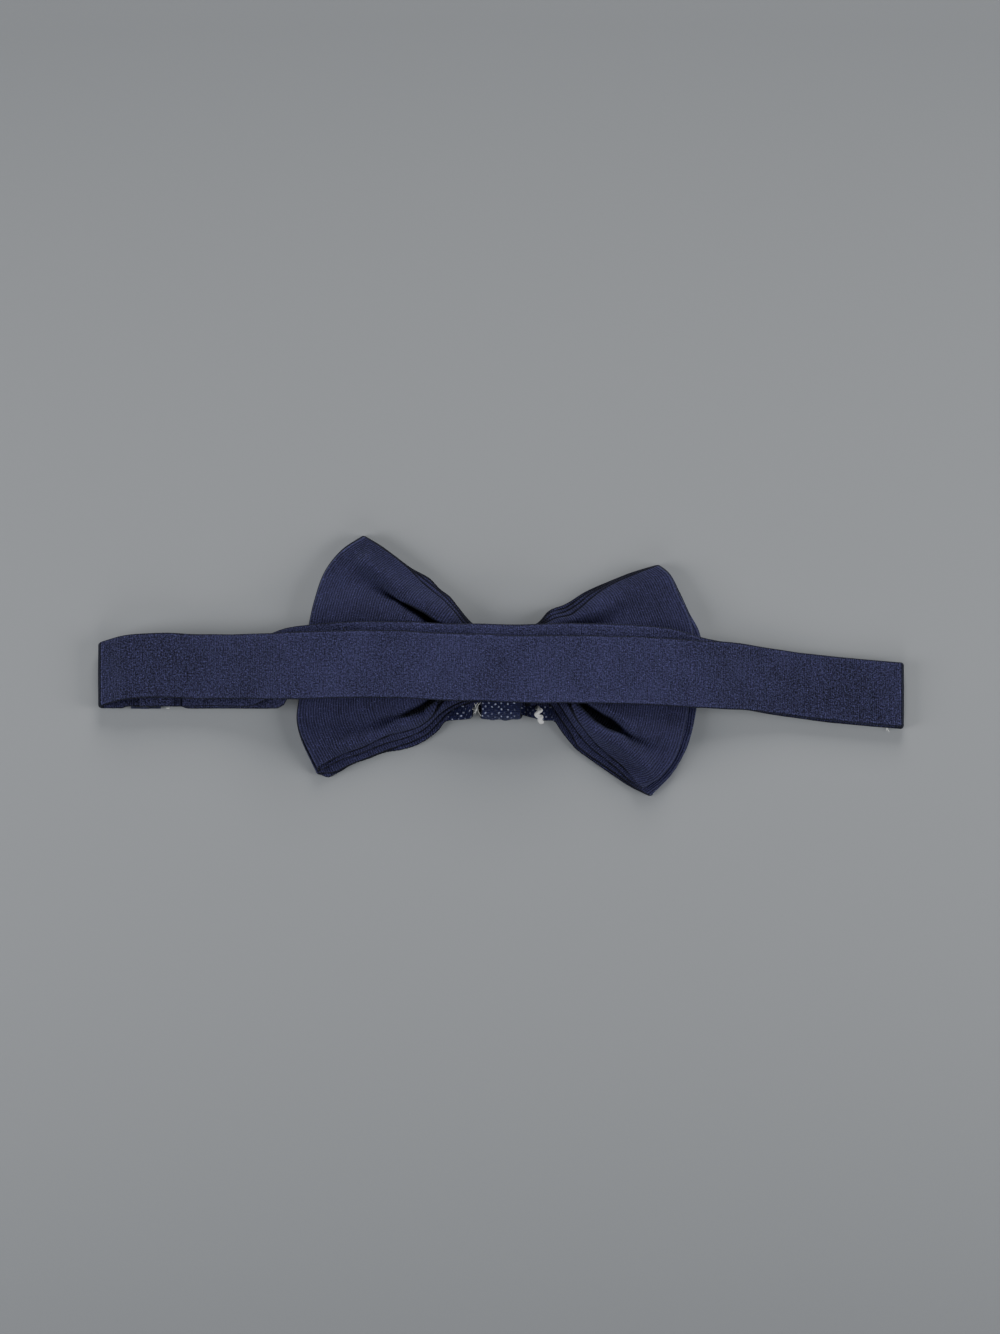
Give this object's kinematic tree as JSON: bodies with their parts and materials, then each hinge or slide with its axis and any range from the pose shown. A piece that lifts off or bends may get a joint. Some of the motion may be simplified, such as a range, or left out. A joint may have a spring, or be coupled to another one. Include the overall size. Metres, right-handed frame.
{
  "type": "pre-tied bow tie",
  "caption": "Pre-tied navy bow tie with a dotted knot, lying face down with its adjustable neck band folded flat as a loop over the back of the bow.",
  "frame": {"origin": "centre of the knot's face, on the line of the neck band, in the plane that the bow lies on", "axes": "+X along the band towards its plain fold, +Y up the bow, +Z from the face of the bow to its back"},
  "size_m": [0.2416, 0.0785, 0.0138],
  "materials": {
    "ribbed_fabric": "finely ribbed navy cloth, soft sheen",
    "dotted_fabric": "navy cloth with small pale woven dots",
    "interlining": "stiff off-white canvas, matt",
    "white_thread": "white cotton sewing thread",
    "navy_thread": "dark navy sewing thread",
    "navy_enamel": "navy enamelled steel, satin"
  },
  "bodies": {
    "bow": {"front_bow": "dotted_fabric", "front_bow_interlining": "interlining", "back_bow": "ribbed_fabric", "back_bow_interlining": "interlining", "knot_wrap": "dotted_fabric", "knot_padding": "interlining", "gathering_thread": "white_thread", "knot_stitches": "navy_thread", "band_inner": "ribbed_fabric", "band_inner_interlining": "interlining", "eye_tape": "ribbed_fabric", "eye_tape_stitches": "navy_thread"},
    "neck_run": {"band_outer": "ribbed_fabric", "band_outer_interlining": "interlining"},
    "end_run": {"band_end": "ribbed_fabric", "band_end_interlining": "interlining"},
    "slide": {"adjuster_slide": "navy_enamel", "band_tail": "ribbed_fabric", "tail_bar_tack": "white_thread"},
    "hook": {"hook": "navy_enamel"},
    "eye": {"eye": "navy_enamel"}
  },
  "joints": [
    {"name": "right_fold", "type": "hinge", "parent": "bow", "child": "neck_run", "pos_m": [0.1202, -0.009, 0.0021], "axis": [0, 1, 0], "range_deg": [0, 150]},
    {"name": "left_fold", "type": "hinge", "parent": "neck_run", "child": "end_run", "pos_m": [-0.1214, -0.003, 0.0033], "axis": [0, 1, 0], "range_deg": [0, 150]},
    {"name": "hook_pivot", "type": "hinge", "parent": "end_run", "child": "hook", "pos_m": [-0.0625, -0.002, 0.00895], "axis": [0, 1, 0], "range_deg": [0, 45]},
    {"name": "eye_pivot", "type": "hinge", "parent": "bow", "child": "eye", "pos_m": [-0.0536, -0.002, 0.0078], "axis": [0, 1, 0], "range_deg": [0, 60]},
    {"name": "slide_travel", "type": "slide", "parent": "end_run", "child": "slide", "axis": [1, 0, 0], "range_m": [0, 0.006]}
  ],
  "couplings": [
    {"joint": "left_fold", "follows": "right_fold", "ratio": 1},
    {"joint": "hook_pivot", "follows": "right_fold", "ratio": 0.3},
    {"joint": "eye_pivot", "follows": "right_fold", "ratio": 0.4}
  ]
}
